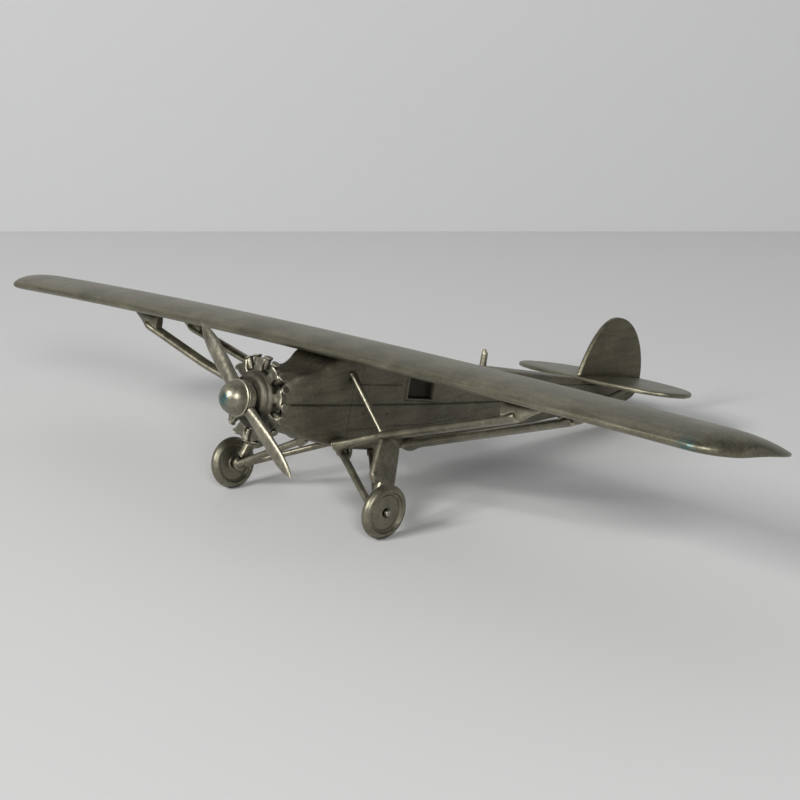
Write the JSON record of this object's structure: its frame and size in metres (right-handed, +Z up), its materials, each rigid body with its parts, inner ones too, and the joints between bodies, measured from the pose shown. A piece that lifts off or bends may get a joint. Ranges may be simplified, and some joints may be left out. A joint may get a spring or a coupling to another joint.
{
  "type": "model aircraft",
  "caption": "Cast-metal scale model of a high-wing strut-braced monoplane with a radial engine, spinning propeller and rolling wheels, resting on its tail skid.",
  "frame": {"origin": "middle of the footprint of the whole model, on the surface that it stands on", "axes": "+Z up, -Y towards the nose, +X towards the left (port) wing tip"},
  "size_m": [0.16, 0.099, 0.0296],
  "materials": {
    "pewter_body": "antiqued satin pewter, brushed along the span",
    "pewter_engine": "antiqued pewter, dark in the recesses",
    "pewter_strut": "satin pewter, rubbed bright on the edges",
    "pewter_wheel": "antiqued satin pewter",
    "steel_pin": "dull turned pin"
  },
  "bodies": {
    "airframe": {"fuselage_left_half": "pewter_body", "fuselage_right_half": "pewter_body", "wing": "pewter_body", "tailplane": "pewter_body", "fin_and_rudder": "pewter_body", "crankcase": "pewter_engine", "engine_mount_plate": "pewter_engine", "cylinder_1": "pewter_engine", "cylinder_2": "pewter_engine", "cylinder_3": "pewter_engine", "cylinder_4": "pewter_engine", "cylinder_5": "pewter_engine", "cylinder_6": "pewter_engine", "cylinder_7": "pewter_engine", "cylinder_8": "pewter_engine", "cylinder_9": "pewter_engine", "tail_skid": "pewter_strut", "compass_mast": "pewter_strut", "left_tail_brace": "pewter_strut", "right_tail_brace": "pewter_strut", "left_front_wing_strut": "pewter_strut", "right_front_wing_strut": "pewter_strut", "left_rear_wing_strut": "pewter_strut", "right_rear_wing_strut": "pewter_strut", "left_cabane_brace": "pewter_strut", "right_cabane_brace": "pewter_strut", "left_leg_fairing": "pewter_strut", "right_leg_fairing": "pewter_strut", "left_shock_leg": "pewter_strut", "right_shock_leg": "pewter_strut", "left_front_axle_strut": "pewter_strut", "right_front_axle_strut": "pewter_strut", "left_rear_axle_strut": "pewter_strut", "right_rear_axle_strut": "pewter_strut", "left_axle": "pewter_strut", "right_axle": "pewter_strut", "left_hub_rivet": "steel_pin", "right_hub_rivet": "steel_pin"},
    "propeller_group": {"spinner": "pewter_body", "propeller": "pewter_strut", "propeller_shaft": "steel_pin"},
    "left_wheel_group": {"left_wheel": "pewter_wheel"},
    "right_wheel_group": {"right_wheel": "pewter_wheel"}
  },
  "joints": [
    {"name": "propeller_spin", "type": "hinge", "parent": "airframe", "child": "propeller_group", "pos_m": [0, -0.04687, 0.02077], "axis": [0, 0.976, -0.2178], "continuous": true},
    {"name": "left_wheel_spin", "type": "hinge", "parent": "airframe", "child": "left_wheel_group", "pos_m": [0.018, -0.03371, 0.00422], "axis": [0.9969, 0, -0.0785], "continuous": true},
    {"name": "right_wheel_spin", "type": "hinge", "parent": "airframe", "child": "right_wheel_group", "pos_m": [-0.018, -0.03371, 0.00422], "axis": [0.9969, 0, 0.0785], "continuous": true}
  ]
}
